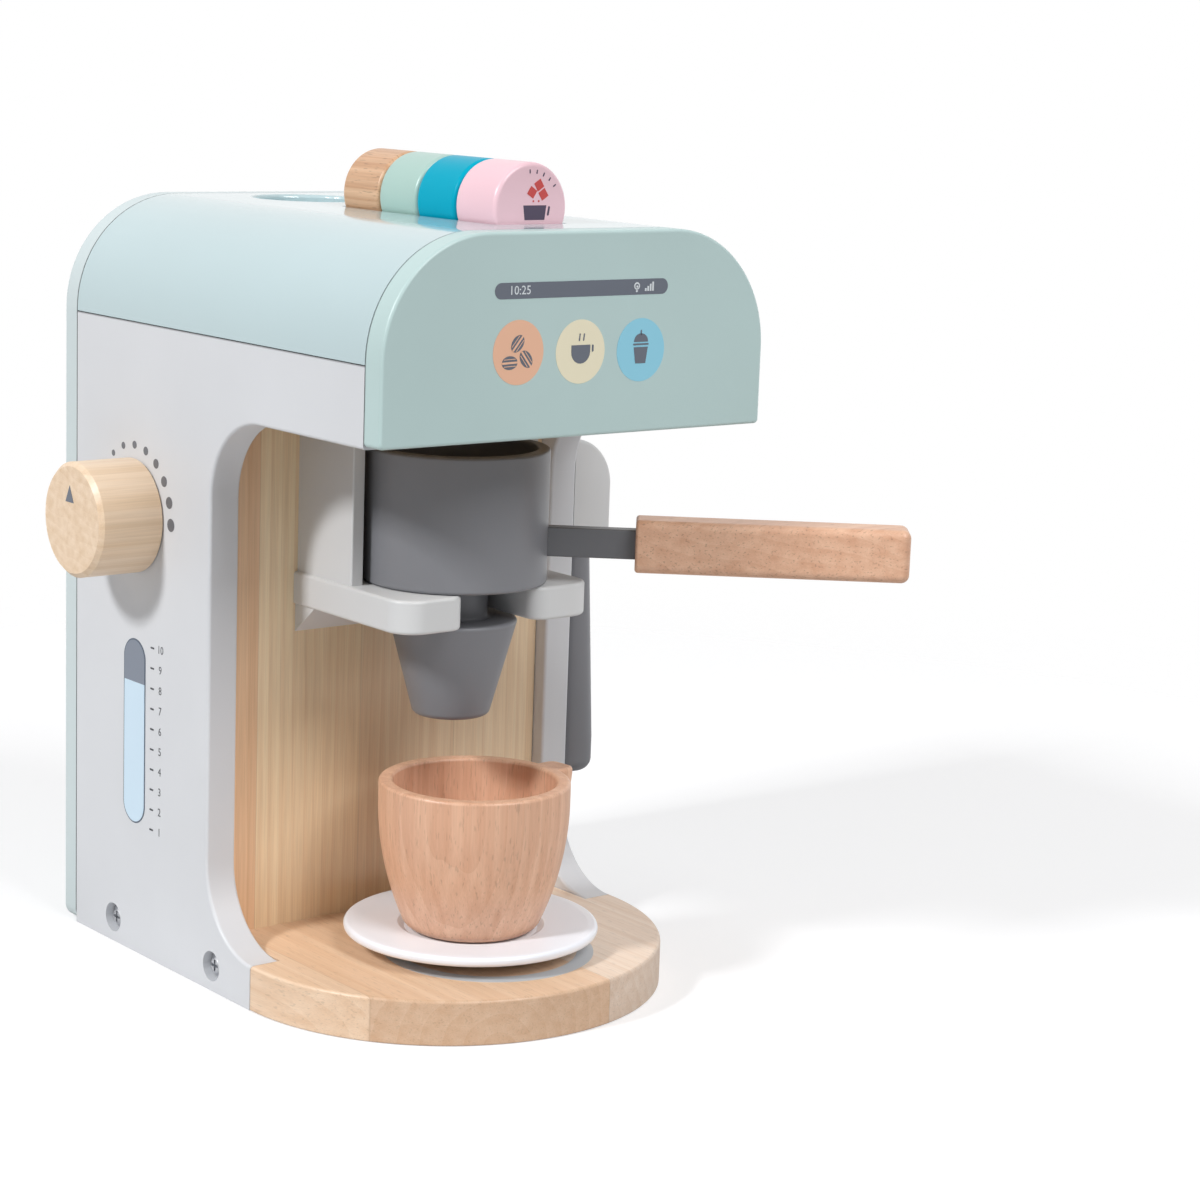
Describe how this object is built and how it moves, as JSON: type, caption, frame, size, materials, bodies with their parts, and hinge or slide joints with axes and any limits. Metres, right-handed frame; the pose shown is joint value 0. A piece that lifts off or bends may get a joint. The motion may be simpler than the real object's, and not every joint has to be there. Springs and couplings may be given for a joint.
{
  "type": "toy coffee maker",
  "caption": "Wooden toy coffee maker with a slide-in portafilter, turning knob and steam wand, lift-out capsules, and a cup on a saucer under the spout",
  "frame": {"origin": "centre of the housing's footprint, on the underside of the base", "axes": "front towards -Y, right side seen from the front towards +X, up +Z"},
  "size_m": [0.233, 0.2442, 0.2957],
  "materials": {
    "side_paint": "satin lavender-grey paint on board",
    "fascia_paint": "satin grey-green paint on board",
    "cover_paint": "glossy pale blue paint on bent board",
    "pine": "clear lacquered glued pine",
    "base_wood": "clear lacquered glued hardwood",
    "hidden_board": "bare board",
    "light_grey_paint": "satin light grey paint",
    "dark_grey_paint": "satin dark grey paint",
    "beech": "clear lacquered beech",
    "knob_wood": "clear lacquered light wood",
    "dowel_wood": "bare dowel",
    "mint_paint": "satin mint paint",
    "teal_paint": "satin teal paint",
    "pink_paint": "satin pink paint",
    "saucer_paint": "satin white paint",
    "screw_steel": "zinc plated"
  },
  "bodies": {
    "machine": {"side_board_left": "side_paint", "side_board_right": "side_paint", "back_board": "fascia_paint", "front_fascia": "fascia_paint", "top_cover": "cover_paint", "inner_back_board": "pine", "base_plate": "base_wood", "head_floor": "hidden_board", "pod_rack": "hidden_board", "recess_tray": "light_grey_paint", "cheek_left": "light_grey_paint", "cheek_right": "light_grey_paint", "fork_plate": "light_grey_paint", "fork_cleat": "light_grey_paint", "base_screws": "screw_steel"},
    "knob": {"knob": "knob_wood", "knob_axle": "dowel_wood", "knob_retainer": "dowel_wood"},
    "steam_wand": {"steam_holder": "light_grey_paint", "steam_pivot": "dowel_wood", "steam_wand": "dark_grey_paint"},
    "portafilter_spout": {"portafilter_spout": "dark_grey_paint"},
    "portafilter": {"portafilter_cup": "dark_grey_paint", "portafilter_bar": "dark_grey_paint", "portafilter_handle": "beech"},
    "pod_natural": {"pod_natural": "beech"},
    "pod_mint": {"pod_mint": "mint_paint"},
    "pod_teal": {"pod_teal": "teal_paint"},
    "pod_pink": {"pod_pink": "pink_paint"},
    "saucer": {"saucer": "saucer_paint"},
    "coffee_cup": {"coffee_cup": "beech", "coffee_cup_ear": "beech"}
  },
  "joints": [
    {"name": "knob_turn", "type": "hinge", "parent": "machine", "child": "knob", "pos_m": [-0.0813, 0.0557, 0.1632], "axis": [1, 0, 0], "continuous": true},
    {"name": "steam_wand_turn", "type": "hinge", "parent": "machine", "child": "steam_wand", "pos_m": [0.0813, 0.0162, 0.166], "axis": [1, 0, 0], "range_deg": [-75, 180]},
    {"name": "portafilter_slide", "type": "slide", "parent": "machine", "child": "portafilter_spout", "axis": [0, -1, 0], "range_m": [0, 0.08]},
    {"name": "portafilter_turn", "type": "hinge", "parent": "portafilter_spout", "child": "portafilter", "pos_m": [0, -0.0288, 0.1469], "axis": [0, 0, 1], "range_deg": [-136.1, 43.6]},
    {"name": "pod_natural_lift", "type": "slide", "parent": "machine", "child": "pod_natural", "axis": [0, 0, 1], "range_m": [0, 0.03]},
    {"name": "pod_mint_lift", "type": "slide", "parent": "machine", "child": "pod_mint", "axis": [0, 0, 1], "range_m": [0, 0.03]},
    {"name": "pod_teal_lift", "type": "slide", "parent": "machine", "child": "pod_teal", "axis": [0, 0, 1], "range_m": [0, 0.03]},
    {"name": "pod_pink_lift", "type": "slide", "parent": "machine", "child": "pod_pink", "axis": [0, 0, 1], "range_m": [0, 0.03]},
    {"name": "saucer_slide", "type": "slide", "parent": "machine", "child": "saucer", "axis": [0, -1, 0], "range_m": [0, 0.1]},
    {"name": "coffee_cup_lift", "type": "slide", "parent": "saucer", "child": "coffee_cup", "axis": [0, 0, 1], "range_m": [0, 0.02]}
  ]
}
